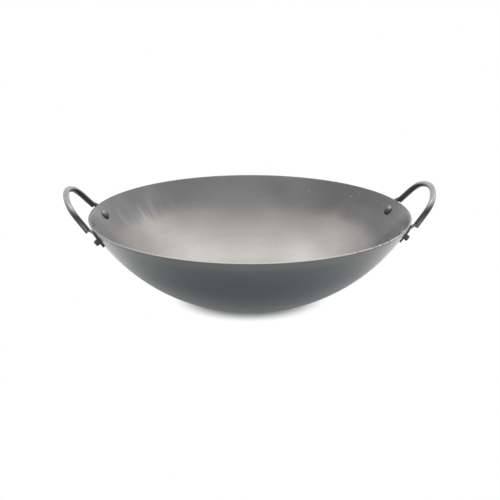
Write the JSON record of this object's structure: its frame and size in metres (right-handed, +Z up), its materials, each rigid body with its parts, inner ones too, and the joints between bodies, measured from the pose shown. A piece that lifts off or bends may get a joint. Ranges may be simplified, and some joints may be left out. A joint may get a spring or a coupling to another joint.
{
  "type": "kadai",
  "caption": "Shallow round-bottomed steel cooking pan with a plain cut rim, a small flat base and riveted loop handles on opposite sides.",
  "frame": {"origin": "centre of the flat base, on the surface that the pan stands on", "axes": "+Z up, the handles along +X and -X, the front towards -Y"},
  "size_m": [0.4584, 0.3996, 0.146],
  "materials": {
    "bowl_steel": "blue-grey carbon steel sheet, spun, with a satin mill finish and fine wear",
    "handle_steel": "dark oiled steel strip, smooth, semi-gloss",
    "rivet_steel": "dark steel, semi-gloss, worn brighter on the dome"
  },
  "bodies": {
    "root": {"bowl": "bowl_steel", "left_handle": "handle_steel", "right_handle": "handle_steel", "left_front_rivet": "rivet_steel", "left_rear_rivet": "rivet_steel", "right_front_rivet": "rivet_steel", "right_rear_rivet": "rivet_steel"}
  },
  "joints": []
}
